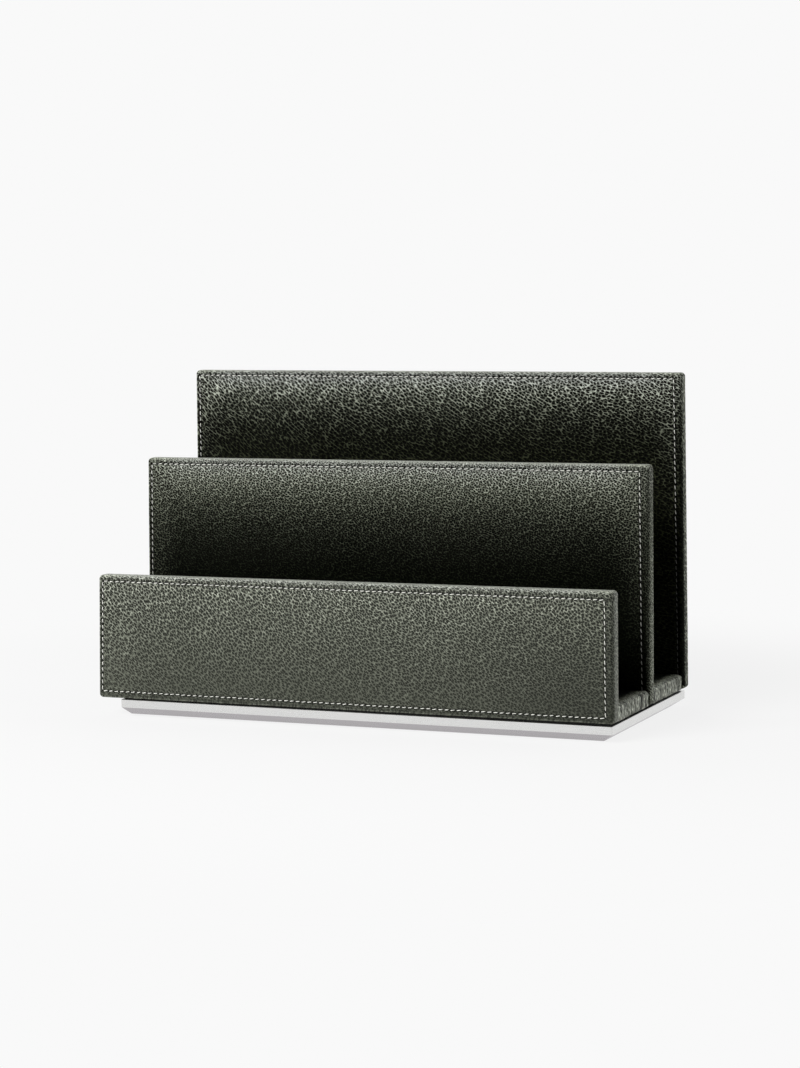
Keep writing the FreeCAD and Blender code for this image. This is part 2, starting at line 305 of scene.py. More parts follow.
class Nodes:
    """Short way to build the node tree of a material or a world."""

    def __init__(self, owner, output="OutputMaterial"):
        owner.use_nodes = True
        self.tree = owner.node_tree
        self.tree.nodes.clear()
        self.output = self.add(output)

    def add(self, kind, sockets=None, **settings):
        """New ShaderNode of the kind, with its settings, and its input sockets linked or set."""
        node = self.tree.nodes.new("ShaderNode" + kind)
        for key, value in settings.items():
            setattr(node, key, value)
        for key, source in (sockets or {}).items():
            self.link(source, node.inputs[key])
        return node

    def link(self, source, target):
        """Links an output to the socket, or sets the socket to a plain value."""
        if hasattr(source, "is_output"):
            self.tree.links.new(source, target)
        else:
            target.default_value = source

    def place(self, scale=(1, 1, 1)):
        """Position in the model's frame, scaled."""
        return self.mapped(self.add("TexCoord").outputs["Object"], scale)

    def mapped(self, vector, scale, turn=(0, 0, 0)):
        """The vector turned, then scaled, so that a small scale draws patterns out."""
        turned = self.add("Mapping", {"Vector": vector, "Rotation": turn})
        return self.add("Mapping", {"Vector": turned.outputs[0], "Scale": scale}).outputs[0]

    def noise(self, vector, scale, detail=2.0, rough=0.5, output=0):
        sockets = {"Vector": vector, "Scale": scale, "Detail": detail, "Roughness": rough}
        return self.add("TexNoise", sockets).outputs[output]

    def warped(self, vector, scale, amount):
        """The vector pushed about by noise, so that cells lose their straight sides."""
        colours = self.noise(vector, scale, output="Color")
        centred = self.vector("SUBTRACT", colours, (0.5, 0.5, 0.5))
        return self.vector("ADD", vector, self.vector("SCALE", centred, amount))

    def vector(self, operation, first, second=(0, 0, 0)):
        """What the operation makes of two vectors, of a vector and a scale, or of one."""
        sockets = {0: first, ("Scale" if operation == "SCALE" else 1): second}
        output = "Value" if operation in ("DOT_PRODUCT", "LENGTH") else "Vector"
        return self.add("VectorMath", sockets, operation=operation).outputs[output]

    def maths(self, operation, first, second=0.0, clamp=False):
        sockets = {0: first, 1: second}
        return self.add("Math", sockets, operation=operation, use_clamp=clamp).outputs[0]

    def product(self, first, second):
        return self.maths("MULTIPLY", first, second)

    def split(self, vector):
        return self.add("SeparateXYZ", {0: vector}).outputs

    def joined(self, *parts):
        return self.add("CombineXYZ", dict(enumerate(parts))).outputs[0]

    def attribute(self, name):
        return self.add("Attribute", attribute_name=name).outputs["Fac"]

    def cells(self, vector, scale, feature="DISTANCE_TO_EDGE"):
        return self.add("TexVoronoi", {"Vector": vector, "Scale": scale},
                        voronoi_dimensions="2D", feature=feature).outputs["Distance"]

    def spread(self, value, low, high, new_low=0.0, new_high=1.0, smooth=False):
        """The value moved from the range low to high into a new range, and kept in it."""
        sockets = {"Value": value, "From Min": low, "From Max": high, "To Min": new_low,
                   "To Max": new_high}
        curve = "SMOOTHSTEP" if smooth else "LINEAR"
        return self.add("MapRange", sockets, interpolation_type=curve).outputs[0]

    def mix(self, share, first, second):
        """Colour between the first and the second, each a socket or a plain colour."""
        colours = [part if hasattr(part, "is_output") else (*part, 1.0)
                   for part in (first, second)]
        return self.add("Mix", {0: share, 6: colours[0], 7: colours[1]},
                        data_type="RGBA").outputs[2]

    def show_blend(self, share, first, second):
        """Puts out the first shader, and the second where share is 1."""
        blend = self.add("MixShader", {0: share, 1: first.outputs[0], 2: second.outputs[0]})
        self.link(blend.outputs[0], self.output.inputs["Surface"])


class Finish(Nodes):
    """Material of one Principled shader."""

    def __init__(self, name):
        self.material = bpy.data.materials.new(name)
        super().__init__(self.material)
        self.shader = self.add("BsdfPrincipled")
        self.link(self.shader.outputs[0], self.output.inputs["Surface"])

    def bump(self, height, depth, strength=1.0):
        sockets = {"Height": height, "Distance": depth, "Strength": strength}
        self.set(Normal=self.add("Bump", sockets).outputs[0])

    def set(self, **values):
        """Sets or links the shader's sockets, named with _ for each space."""
        for key, value in values.items():
            self.link(value, self.shader.inputs[key.replace("_", " ")])


# ---- Leather ------------------------------------

SPECULAR_TINT = (0.94, 1.0, 0.84, 1.0)  # olive cast of the wax on the grain
ROUGHNESS = (0.56, 0.38)   # in the deepest pits and on the highest ridges
OLIVE_CAST = (0.97, 1.0, 0.82)  # on leather outside the painted top light and the worn marks
NO_TINT = (1.0, 1.0, 1.0)
WORN_AND_LIT_DYE = (0.36, 0.375, 0.33)  # worn edges; painted highlight on tops and painted light on ends
# The dark mark is painted shade, and darker dye round a lining.
MARKED_DARK = 0.12         # share of the dye left where the mesh marks the leather dark
CLOUDS = (0.93, 1.07)      # slow variation of the dye over the hide
CLOUD_SCALE = 70.0

TOP_LIGHT_FULL_DEPTH = 4.0 * MM       # the painted top light is full this far down from a top edge
RIDGE_REACH = 0.60         # the painted top light reaches further down on the ridges of the grain
SIDE_ZONE = (0.106, 0.121)  # between these X it gets weaker, but reaches lower
SIDE_SHARE = 0.55
SIDE_REACH = 0.50
LEFT_ZONE = (-0.122, -0.09)  # X where the painted light and shade of a panel's two ends set in
RIGHT_ZONE = (0.04, 0.12)
CONTRAST_FOOT = 12 * MM    # contrast by height runs from this height to this far under
CONTRAST_HEAD = 4 * MM     # the top

# The grain's plane: a panel's face, and a slanting cut of its edges.
PATTERN_AXES = ((1.0, 0.8, 0.0), (0.0, 0.7, 1.0))
RUN_LENGTH = 0.25          # the run of the hide turns over the length of a panel
BEND_SCALE = 13.0          # the run's wandering, in waves per metre
LOOSE_SCALE = 0.8          # waves per pit in the noise that loosens the pits
PORE_SCALE = 2.3           # and in the noise of the pores
NET_WIDTH = 0.20           # shares of a cell: the ridges' width, and where pits slope
PIT_SLOPE = (0.12, 0.58)
PIT_RIM = 0.5              # a pit's rim stands this share of its depth high
CREASE_LOOSE = 0.35        # share of their spacing by which creases wander
CREASE_FADES = (0.38, 0.60, 0.5, 1.0)  # the noise range that takes them from half to full
RIDGE_TOP = 0.25           # only creases stand higher than this
CREASE_WIDTH = 0.22 * MM
CREASE_TOP = 0.41
SHADE_SHARES = (1.0, 1.0, 1.03)  # how far red, green and blue follow the relief

# The grain of a hide. Its size is the distance between its pits, which are stretch times
# as long as wide, along a run that falls to the right, by the angles falls at a panel's
# two ends, and wanders by bend metres. The pits are loose by a share of their size. Net,
# pits, pores and creases are shares of the relief. Creases stand spacing apart and are
# drawn out length times. contrast is the strength of light and dark, at the foot and at
# the top of a panel, or where the painted top light is faint and where it is full.
Grain = namedtuple("Grain", "size stretch falls bend loose net pits pores "
                   "creases spacing length contrast")


def grain_run(nodes, flat, falls, middle):
    """The pattern's plane turned so that its first axis runs as the hide does.

    The run falls to the right, by the angles falls at the panel's two ends. It keeps to
    arcs about one far centre, which stands above a point of height middle.
    """
    left, right = (math.radians(angle) for angle in falls)
    if left == right:
        return nodes.mapped(flat, (1, 1, 1), (0, 0, left))
    mean = (left + right) / 2
    radius = RUN_LENGTH / (math.cos(mean) * (left - right))
    centre = (radius * math.sin(mean), middle + radius * math.cos(mean), 0)
    away = nodes.vector("SUBTRACT", flat, centre)
    parts = nodes.split(away)
    turn = nodes.maths("ARCTAN2", parts["X"], nodes.product(parts["Y"], -1.0))
    return nodes.joined(nodes.product(turn, radius), nodes.vector("LENGTH", away))


def pit_relief(nodes, run, grain):
    """Height of the pits, of the net of ridges between them, and of the pores."""
    size = grain.size
    turned = nodes.mapped(run, (1 / grain.stretch, 1, 1))
    warped = nodes.warped(turned, LOOSE_SCALE / size, grain.loose * size)
    net = nodes.cells(warped, 1 / size)
    net = nodes.spread(net, 0.0, NET_WIDTH, grain.net, -grain.net)
    pit = nodes.cells(warped, 1 / size, "F1")
    pit = nodes.spread(pit, *PIT_SLOPE, -grain.pits, PIT_RIM * grain.pits, smooth=True)
    pores = nodes.noise(turned, PORE_SCALE / size, 3.0, 0.6)
    pores = nodes.spread(pores, 0.3, 0.7, -grain.pores, grain.pores)
    return nodes.maths("ADD", nodes.maths("ADD", net, pit), pores)


def crease_relief(nodes, run, grain):
    """Height of the long creases, which come and go along their length."""
    spacing = grain.spacing
    drawn = nodes.mapped(run, (1 / grain.length, 1, 1))
    warped = nodes.warped(drawn, 0.5 / spacing, CREASE_LOOSE * spacing)
    creases = nodes.cells(warped, 1 / spacing)
    creases = nodes.spread(creases, 0.0, CREASE_WIDTH / spacing, grain.creases, 0.0)
    fades = nodes.spread(nodes.noise(drawn, 1.2 / spacing, 1.0), *CREASE_FADES)
    return nodes.product(creases, fades)


def grain_relief(nodes, place, grain, middle):
    """Height of the leather's grain: pits in a net of ridges, pores, and long creases."""
    bent = nodes.warped(place, BEND_SCALE, grain.bend)
    flat = nodes.joined(*(nodes.vector("DOT_PRODUCT", bent, axis) for axis in PATTERN_AXES))
    run = grain_run(nodes, flat, grain.falls, middle)
    pits = nodes.maths("MINIMUM", pit_relief(nodes, run, grain), RIDGE_TOP)
    relief = nodes.maths("ADD", pits, crease_relief(nodes, run, grain))
    return nodes.maths("MINIMUM", relief, CREASE_TOP)


def painted_top_light_share(nodes, height, aside, relief, top_z, fade):
    """Share of painted top light below a panel's top edge, which fades down into painted shade.
    """
    below = nodes.maths("MAXIMUM", nodes.maths("SUBTRACT", top_z - TOP_LIGHT_FULL_DEPTH, height), 0.0)
    fall = nodes.maths("SUBTRACT", 1.0, nodes.product(relief, RIDGE_REACH))
    below = nodes.product(below, fall)
    below = nodes.product(below, nodes.spread(aside, *SIDE_ZONE, 1.0, SIDE_REACH, smooth=True))
    painted_top_light = nodes.maths("POWER", math.e, nodes.maths("DIVIDE", below, -fade), clamp=True)
    return nodes.product(painted_top_light, nodes.spread(aside, *SIDE_ZONE, 1.0, SIDE_SHARE, smooth=True))


def shaded(nodes, tone, stops):
    """The tone made lighter or darker by stops: greyer on ridges, and greener in pits."""
    powers = [nodes.maths("POWER", 2.0, nodes.product(stops, share)) for share in SHADE_SHARES]
    return nodes.vector("MULTIPLY", tone, nodes.joined(*powers))


def leather(name, deep, top, top_z, fade, grain, depth, gloss=0.4, calm=0.9,
            ends=(1.0, 1.0), worn_and_lit_dye=WORN_AND_LIT_DYE, by_top_light=False):
    """Waxed full-grain leather: dark pits in a net of lighter ridges.

    The colour deep is the dye, and on the middle and rear panels it is painted shade as well.
    Towards the height top_z, over a length of about fade, it turns to the colour top, which on
    the panels is painted light. The grain's contrast follows this painted top light where
    by_top_light is true, and else the height. depth is the grain's relief in metres and gloss
    the shader's specular level. The deep colour is lighter or darker at a panel's left and
    right end by the shares ends, as painted light and shade. The mesh marks where edges are
    worn, with painted highlight on the tops and painted light on the ends: they have the
    colour worn_and_lit_dye, and calm is how much contrast and relief they lose. It also marks
    painted shade, as in the seam's channel, and darker dye round the lining.
    """
    nodes = Finish(name)
    place = nodes.place()
    across, _, height = nodes.split(place)
    aside = nodes.maths("ABSOLUTE", across)
    relief = grain_relief(nodes, place, grain, top_z / 2)
    worn = nodes.attribute("worn")
    lively = nodes.spread(worn, 0, 1, 1.0, 1 - calm)
    # Painted top light, fading down into painted shade.
    painted_top_light = painted_top_light_share(nodes, height, aside, relief, top_z, fade)
    share = painted_top_light
    if not by_top_light:
        head = max(top_z - CONTRAST_HEAD, CONTRAST_FOOT + CONTRAST_HEAD)
        share = nodes.spread(height, CONTRAST_FOOT, head)
    contrast = nodes.product(nodes.spread(share, 0, 1, *grain.contrast), lively)
    # Painted light at a panel's left end and painted shade at its right, by the shares ends.
    left, right = ends
    along = nodes.product(nodes.spread(across, *LEFT_ZONE, left, 1.0, smooth=True),
                          nodes.spread(across, *RIGHT_ZONE, 1.0, right, smooth=True))
    tone = nodes.mix(painted_top_light, nodes.vector("SCALE", deep, along), top)
    # Worn edges, with painted highlight on the tops and painted light on the ends.
    tone = nodes.mix(worn, tone, worn_and_lit_dye)
    # The olive cast is left off under the painted top light and on worn marks.
    worn_and_top_lit = nodes.maths("MAXIMUM", painted_top_light, worn)
    tone = nodes.vector("MULTIPLY", tone, nodes.mix(worn_and_top_lit, OLIVE_CAST, NO_TINT))
    clouds = nodes.spread(nodes.noise(place, CLOUD_SCALE, 3.0), 0.3, 0.7, *CLOUDS)
    # Painted shade marked on the mesh, and darker dye round the lining.
    dark = nodes.spread(nodes.attribute("dark"), 0, 1, 1.0, MARKED_DARK)
    tone = nodes.vector("SCALE", tone, nodes.product(clouds, dark))
    tone = shaded(nodes, tone, nodes.product(relief, contrast))
    rough = nodes.spread(relief, -1.0, 1.0, *ROUGHNESS)
    nodes.set(Base_Color=tone, Roughness=rough, IOR=1.45, Specular_IOR_Level=gloss,
              Specular_Tint=SPECULAR_TINT)
    nodes.bump(relief, depth, lively)
    return nodes.material


# Colours of the leather: the deep colours of the middle and rear panels are painted shade, and
# the top colours of the three panels painted light.
REAR_SHADED_DYE = (0.0018, 0.0020, 0.0011)
MIDDLE_SHADED_DYE = (0.0005, 0.0007, 0.0003)
FRONT_DYE = (0.0413, 0.0428, 0.0396)
FRONT_TOP_LIT_DYE = (0.0503, 0.0530, 0.0417)
MIDDLE_TOP_LIT_DYE = (0.0946, 0.0991, 0.0845)
REAR_TOP_LIT_DYE = (0.1260, 0.1317, 0.1183)
BACK_DYE = (0.0412, 0.0440, 0.0403)
FLOOR_DYE = (0.0050, 0.0056, 0.0036)
# Painted light on the floors' turned-down ends.
FLOOR_END_LIT_DYE = (0.44, 0.46, 0.39)

FRONT_GRAIN = Grain(
    size=1.06 * MM, stretch=1.5, falls=(55, 30), bend=9 * MM, loose=0.65, net=0.26,
    pits=0.45, pores=0.45, creases=0.25, spacing=1.6 * MM, length=5.0, contrast=(2.7, 7.4))
MIDDLE_GRAIN = Grain(
    size=0.92 * MM, stretch=1.4, falls=(34, 22), bend=8 * MM, loose=0.65, net=0.26,
    pits=0.42, pores=0.45, creases=0.35, spacing=1.3 * MM, length=4.0, contrast=(7.5, 5.7))
REAR_GRAIN = Grain(
    size=1.2 * MM, stretch=2.2, falls=(46, 17), bend=7 * MM, loose=0.4, net=0.40,
    pits=0.40, pores=0.22, creases=0.70, spacing=1.9 * MM, length=8.0, contrast=(8.4, 4.1))
LINING_GRAIN = Grain(
    size=1.5 * MM, stretch=1.3, falls=(30, 30), bend=8 * MM, loose=0.8, net=0.28,
    pits=0.35, pores=0.60, creases=0.30, spacing=1.6 * MM, length=4.0, contrast=(1.6, 1.6))
FLOOR_GRAIN = Grain(
    size=0.62 * MM, stretch=5.0, falls=(90, 90), bend=1 * MM, loose=0.5, net=0.35,
    pits=0.40, pores=0.55, creases=0.50, spacing=1.1 * MM, length=8.0, contrast=(3.6, 3.6))

top_of = {panel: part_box(panel + "_panel_cover")[1].z for panel in PANELS}
panel_leather = {
    # The front panel gets painted light on its left end and painted shade on its right (ends).
    "front": leather("front_leather", FRONT_DYE, FRONT_TOP_LIT_DYE, top_of["front"], 12 * MM,
                     FRONT_GRAIN, depth=0.20 * MM, gloss=0.35, ends=(1.3, 0.62)),
    "middle": leather("middle_leather", MIDDLE_SHADED_DYE, MIDDLE_TOP_LIT_DYE, top_of["middle"], 8.3 * MM,
                      MIDDLE_GRAIN, depth=0.18 * MM, gloss=0.02, by_top_light=True),
    "rear": leather("rear_leather", REAR_SHADED_DYE, REAR_TOP_LIT_DYE, top_of["rear"], 5.1 * MM,
                    REAR_GRAIN, depth=0.25 * MM, gloss=0.04, by_top_light=True),
}
back_leather = leather("lining_leather", BACK_DYE, BACK_DYE, 0.0, 1.0, LINING_GRAIN,
                       depth=0.2 * MM)
floor_leather = leather("floor_leather", FLOOR_DYE, FLOOR_DYE, 0.0, 1.0, FLOOR_GRAIN,
                        depth=0.3 * MM, gloss=0.1, calm=0.2, worn_and_lit_dye=FLOOR_END_LIT_DYE)


# ---- Thread, metal, board and felt --------------

THREAD_DYES = ((0.60, 0.60, 0.54), (0.88, 0.88, 0.82))
FELT_DYES = ((0.006, 0.007, 0.006), (0.030, 0.032, 0.029))
# Near black, as painted shade in the needle holes.
HOLE_SHADE_TONES = ((0.002, 0.002, 0.0015), (0.006, 0.006, 0.005))
# Near black, as painted shadow in the reveal under the leather.
REVEAL_SHADOW_TONES = ((0.004, 0.004, 0.004), (0.012, 0.012, 0.012))
FIBREBOARD_TONES = ((0.17, 0.11, 0.06), (0.33, 0.23, 0.14))
PLYWOOD_TONES = ((0.38, 0.25, 0.13), (0.58, 0.42, 0.25))
ZINC_COLOUR = (0.55, 0.55, 0.56)
PLATE_COLOUR = (0.75, 0.75, 0.74)
BEVEL_SHADE = (0.52, 0.495, 0.52)  # painted shade: the bevel looks down into the shade
STREAK_LIGHTER = 1.06      # the light streaks of brushed metal against its colour


def flecked(nodes, pattern, tones):
    """Colour that goes from one tone to the other with the middle part of a noise."""
    return nodes.mix(nodes.spread(pattern, 0.35, 0.65), *tones)


def thread_material():
    """Pale waxed thread, with painted shade where the mesh marks it dark."""
    nodes = Finish("waxed_thread")
    fibre = nodes.noise(nodes.place(), 9000.0, 2.0)
    thread_shade = nodes.spread(nodes.attribute("dark"), 0, 1, 1.0, 0.05)
    nodes.set(Base_Color=nodes.vector("SCALE", flecked(nodes, fibre, THREAD_DYES), thread_shade),
              Roughness=0.5, Sheen_Weight=0.2)
    nodes.bump(fibre, 0.05 * MM)
    return nodes.material


def satin_metal(name, colour, rough_low, rough_high, foot=NO_TINT):
    """Brushed metal with fine level streaks, with painted shade of the colour foot where the
    mesh marks its foot.
    """
    nodes = Finish(name)
    streaks = nodes.noise(nodes.place(scale=(12, 900, 900)), 9.0, 4.0, 0.6)
    smear = nodes.noise(nodes.place(), 60.0, 3.0)
    lighter = tuple(min(1.0, part * STREAK_LIGHTER) for part in colour)
    bevel_shade_tone = nodes.mix(nodes.attribute("foot"), NO_TINT, foot)
    tone = nodes.vector("MULTIPLY", nodes.mix(streaks, colour, lighter), bevel_shade_tone)
    worn = nodes.maths("ADD", nodes.product(streaks, 0.6), nodes.product(smear, 0.4))
    nodes.set(Base_Color=tone, Metallic=1.0,
              Roughness=nodes.spread(worn, 0.3, 0.7, rough_low, rough_high))
    nodes.bump(streaks, 0.006 * MM)
    return nodes.material


def board_material(name, tones, fibre_scale):
    """Raw board: pressed fibres or plies drawn out along X, matt."""
    nodes = Finish(name)
    fibres = nodes.noise(nodes.place(scale=(0.25, 1, 1)), fibre_scale, 5.0, 0.65)
    flecks = nodes.noise(nodes.place(), fibre_scale * 3.1, 2.0)
    both = nodes.maths("ADD", nodes.product(fibres, 0.65), nodes.product(flecks, 0.35))
    nodes.set(Base_Color=flecked(nodes, both, tones), Roughness=0.85)
    nodes.bump(both, 0.08 * MM)
    return nodes.material


def felt_material():
    """Dark pressed felt with tangled fibres."""
    nodes = Finish("pressed_felt")
    tangled = nodes.warped(nodes.place(), 300.0, 2 * MM)
    fibres = nodes.noise(tangled, 1600.0, 4.0, 0.7)
    nodes.set(Base_Color=flecked(nodes, fibres, FELT_DYES), Roughness=0.95, Sheen_Weight=0.35)
    nodes.bump(fibres, 0.3 * MM)
    return nodes.material


thread = thread_material()
# Finish of the needle holes: painted shade.
hole_shade = board_material("needle_hole_shade", HOLE_SHADE_TONES, 4000.0)


# ---- Panels -------------------------------------

def settled(name, points):
    """Points on or in a panel, moved as its hand-made shape is out of square."""
    low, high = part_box(name + "_panel_cover")
    points = np.array(points, dtype=float)
    across = np.clip((points[:, 0] - low.x) / (high.x - low.x), 0, 1)[:, None]
    up = np.clip((points[:, 2] - low.z) / (high.z - low.z), 0, 1)[:, None]
    lower_left, lower_right, upper_right, upper_left = np.array(OUT_OF_SQUARE[name]) * MM
    lower = lower_left * (1 - across) + lower_right * across
    upper = upper_left * (1 - across) + upper_right * across
    points[:, (0, 2)] += lower * (1 - up) + upper * up
    return points


def seam_corners(name):
    """Corners of the seam on the face of a panel, in order round it from the lower left."""
    low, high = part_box(name + "_panel_cover")
    left, right, bottom, top = np.array(SEAM_INSETS[name]) * MM
    return [Vector((low.x + left[0], low.y, low.z + bottom[0])),
            Vector((high.x - right[0], low.y, low.z + bottom[1])),
            Vector((high.x - right[1], low.y, high.z - top[1])),
            Vector((low.x + left[1], low.y, high.z - top[0]))]


def seam_sides(name):
    """Start, run and number of stitches of each side of a panel's seam."""
    corners = seam_corners(name)
    for start, end in zip(corners, corners[1:] + corners[:1]):
        run = end - start
        yield start, run, max(1, round(run.length / STITCH_PITCH))


def seam_distance(name, points):
    """How far inside the seam each point lies, and its place along the nearest side.

    The place is a phase that is 0 at a needle hole and grows by a turn at each stitch.
    """
    depths = []
    phases = []
    for start, run, count in seam_sides(name):
        along = run.normalized()
        offset = points - np.array(start)
        depths.append(offset[:, 2] * along.x - offset[:, 0] * along.z)
        travelled = offset[:, 0] * along.x + offset[:, 2] * along.z
        phases.append(2 * math.pi * travelled / run.length * count)
    nearest = np.argmin(depths, axis=0)
    order = np.arange(len(points))
    return np.array(depths)[nearest, order], np.array(phases)[nearest, order]


def seam_form(name, points, inset, on_face):
    """The seam's shape on the face: its channel, needle holes, puckers and border.

    inset is each point's distance from the panel's edge. Returns how far the leather is
    pushed out, how deep each point lies in the channel, from 0 to 1, and its place across
    the border outside the seam, from 0 at the panel's edge to 1, and 0 elsewhere.
    """
    inside, phase = seam_distance(name, points)
    channel = np.cos(np.clip(inside / SEAM_HALF_WIDTH, -1, 1) * math.pi / 2) ** 2
    at_hole = (0.5 + 0.5 * np.cos(phase)) ** 3
    lump = np.exp(-((inside - LUMP_INSET) / LUMP_REACH) ** 2)
    border = np.clip(inset / (inset - np.minimum(inside, -1e-9)), 0, 1)
    border = np.where(on_face & (inside < 0), border, 0)
    push = -channel * (SEAM_DEPTH + HOLE_DEPTH * at_hole)
    push += LUMP_HEIGHT * lump * (0.5 - 0.5 * np.cos(phase))
    push += BORDER_PUFF * np.sin(border ** 0.8 * math.pi)
    return np.where(on_face, push, 0), np.where(on_face, channel, 0), border


def undulation(points, inset, seed):
    """Slow rise and fall of leather that is glued to a board, less near its edges."""
    slow = value_noise(points, LONG_WAVE, seed) + 0.5 * value_noise(points, SHORT_WAVE, seed + 1)
    small = value_noise(points, CREPE_WAVE, seed + 2)
    edge_share = np.clip(inset / STRETCHED, STRETCHED_SHARE, 1)
    return UNDULATION * edge_share * slow + CREPE * small


def on_rim(normals):
    """1 at the middle of a rounded edge or corner, and 0 where the leather is flat."""
    slant = (1 - np.abs(normals).max(1)) / (1 - math.sqrt(0.5))
    return np.clip(RIM_SLOPE * slant - RIM_START, 0, 1)


def wear_marks(name, normals, up, back, channel, border, blotch):
    """How worn and how dark the leather of a panel is at each point. Worn takes in painted
    highlight on the tops and painted light on the ends; dark is painted shade, and darker
    dye round the lining.

    up and back are a point's places in the height and the thickness of the panel.
    """
    rim = on_rim(normals)
    # Painted shade on the front corner of a panel's right end.
    front_corner = rim * (normals[:, 0] > 0) * (np.abs(normals[:, 2]) < 0.1)
    front_corner = front_corner * (normals[:, 1] < 0)
    # Top faces: rubbing plus a painted highlight; other edges: rubbing.
    worn = np.maximum(np.clip(normals[:, 2], 0, 1) ** 2 * TOP_WEAR_AND_HIGHLIGHT, rim * RIM_WEAR)
    worn = np.where(front_corner > 0, 0, worn)
    # Painted light on the ends, growing towards the back.
    end_light_foot, end_light_top, front_share, power = END_PAINTED_LIGHT[name]
    at_end = np.abs(normals[:, 0]) ** (END_ROUND + END_NARROW[name] * (1 - up))
    end_light = end_light_foot + (end_light_top - end_light_foot) * up ** 1.2
    end_light *= front_share + (END_LIGHT_BACK - front_share) * back ** power
    behind = np.clip(normals[:, 1] / 0.3 - 1, 0, 1)
    worn = np.maximum.reduce([worn, at_end * end_light, BACK_WORN * behind])
    # Painted shade in the channel and on the blotched border; darker dye round the lining.
    dark = CHANNEL_DARK * channel + BORDER_DARK * border ** 0.6 * blotch
    dark = np.maximum(dark + CORNER_DARK * front_corner, BACK_DARK * behind)
    return {"worn": np.clip(worn, 0, 1), "dark": np.clip(dark, 0, 1)}


def cover_shape(name, points, rounded, normals, seed):
    """The leather's own form over a board, and the marks of its wear, painted light and painted
    shade.
    """
    low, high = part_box(name + "_panel_cover")
    inset = np.min([points[:, 0] - low.x, high.x - points[:, 0],
                    points[:, 2] - low.z, high.z - points[:, 2]], axis=0)
    on_face = points[:, 1] < low.y + HAIR
    push, channel, border = seam_form(name, points, inset, on_face)
    push = push + undulation(points, inset, seed)
    push = np.where(points[:, 1] > high.y - FLAT_BACK, 0, push)
    up = np.clip((points[:, 2] - low.z) / (high.z - low.z), 0, 1)
    back = np.clip((points[:, 1] - low.y) / (high.y - low.y), 0, 1)
    blotch = 0.8 + 0.35 * value_noise(points, BLOTCH, seed + 4)
    marks = wear_marks(name, normals, up, back, channel, border, blotch)
    return rounded + normals * push[:, None], marks


def panel_cover(name, seed):
    """Leather over the face and edges of one panel, open at the back for the lining."""
    node = name + "_panel_cover"
    low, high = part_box(node)
    seam = np.arange(*SEAM_ZONE, SEAM_GRID)
    samples = (side_samples(low.x, high.x, EDGE_RADIUS, seam, GRID),
               side_samples(low.y, high.y, EDGE_RADIUS, [], DEPTH_GRID),
               side_samples(low.z, high.z, EDGE_RADIUS, seam, GRID))
    points, rounded, normals, faces = rounded_box(low, high, EDGE_RADIUS, samples,
                                                  (LINING_MARGIN, LINING_RECESS))
    shaped, marks = cover_shape(name, points, rounded, normals, seed)
    return make_piece(name + "_cover_leather", settled(name, shaped), faces,
                      panel_leather[name], [node], marks=marks)


def panel_lining(name, seed):
    """Leather sheet let into the back of a panel."""
    low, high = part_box(name + "_panel_cover")
    inset = LINING_MARGIN + LINING_GAP
    low = Vector((low.x + inset, high.y - LINING_RECESS - LINING_BEDDED, low.z + inset))
    high = Vector((high.x - inset, high.y, high.z - inset))
    spacings = (COARSE_GRID, LINING_RADIUS, COARSE_GRID)
    points, rounded, normals, faces = even_box(low, high, LINING_RADIUS, spacings)
    slow = LINING_RISE * value_noise(points, LINING_WAVE, seed)
    return make_piece(name + "_lining_leather", rounded + normals * slow[:, None], faces,
                      back_leather, [name + "_panel_lining"])


def tube_faces(first, rings, sides):
    """Side faces of a tube whose rings of points are numbered on from first."""
    faces = []
    for ring in range(rings - 1):
        start = first + ring * sides
        for k in range(sides):
            after = (k + 1) % sides
            faces.append((start + k, start + after, start + sides + after, start + sides + k))
    return faces


def stitch(centre, along, outward, tilt, lift):
    """One stitch: a short thread that dives into its holes at both ends."""
    side = outward.cross(along)
    direction = (along * math.cos(tilt) + side * math.sin(tilt)).normalized()
    side = outward.cross(direction)
    points = []
    for ring in range(THREAD_RINGS):
        share = -1 + 2 * ring / (THREAD_RINGS - 1)
        taper = math.sqrt(max(0.0, 1 - abs(share) ** 5)) * (1 - THREAD_END) + THREAD_END
        sink = THREAD_DIVE * abs(share) ** 3
        middle = centre + direction * (share * STITCH_LENGTH / 2) + outward * (lift - sink)
        for k in range(THREAD_SIDES):
            angle = 2 * math.pi * k / THREAD_SIDES
            offset = side * math.cos(angle) + outward * (0.8 * math.sin(angle))
            points.append(middle + offset * (THREAD_RADIUS * taper))
    last = len(points) - THREAD_SIDES
    faces = [tuple(reversed(range(THREAD_SIDES)))]
    faces += tube_faces(0, THREAD_RINGS, THREAD_SIDES)
    faces.append(tuple(range(last, len(points))))
    return points, faces


def needle_holes(name):
    """A small cup in the bottom of the channel at each end of each stitch, near black as painted
    shade.
    """
    points, faces = [], []
    for start, run, count in seam_sides(name):
        along = run.normalized()
        across = Vector((0, -1, 0)).cross(along)
        for number in range(count):
            centre = start + run * (number / count)
            first = len(points)
            for radius, depth in ((HOLE_RADIUS, HOLE_RIM), (0.5 * HOLE_RADIUS, HOLE_FLOOR)):
                for side in range(HOLE_SIDES):
                    angle = 2 * math.pi * side / HOLE_SIDES
                    reach = along * (0.9 * math.cos(angle)) + across * math.sin(angle)
                    points.append(centre + reach * radius + Vector((0, depth, 0)))
            faces += tube_faces(first, 2, HOLE_SIDES)
            faces.append(tuple(range(first + HOLE_SIDES, len(points))))
    return make_piece(name + "_needle_holes", settled(name, points), faces, hole_shade)


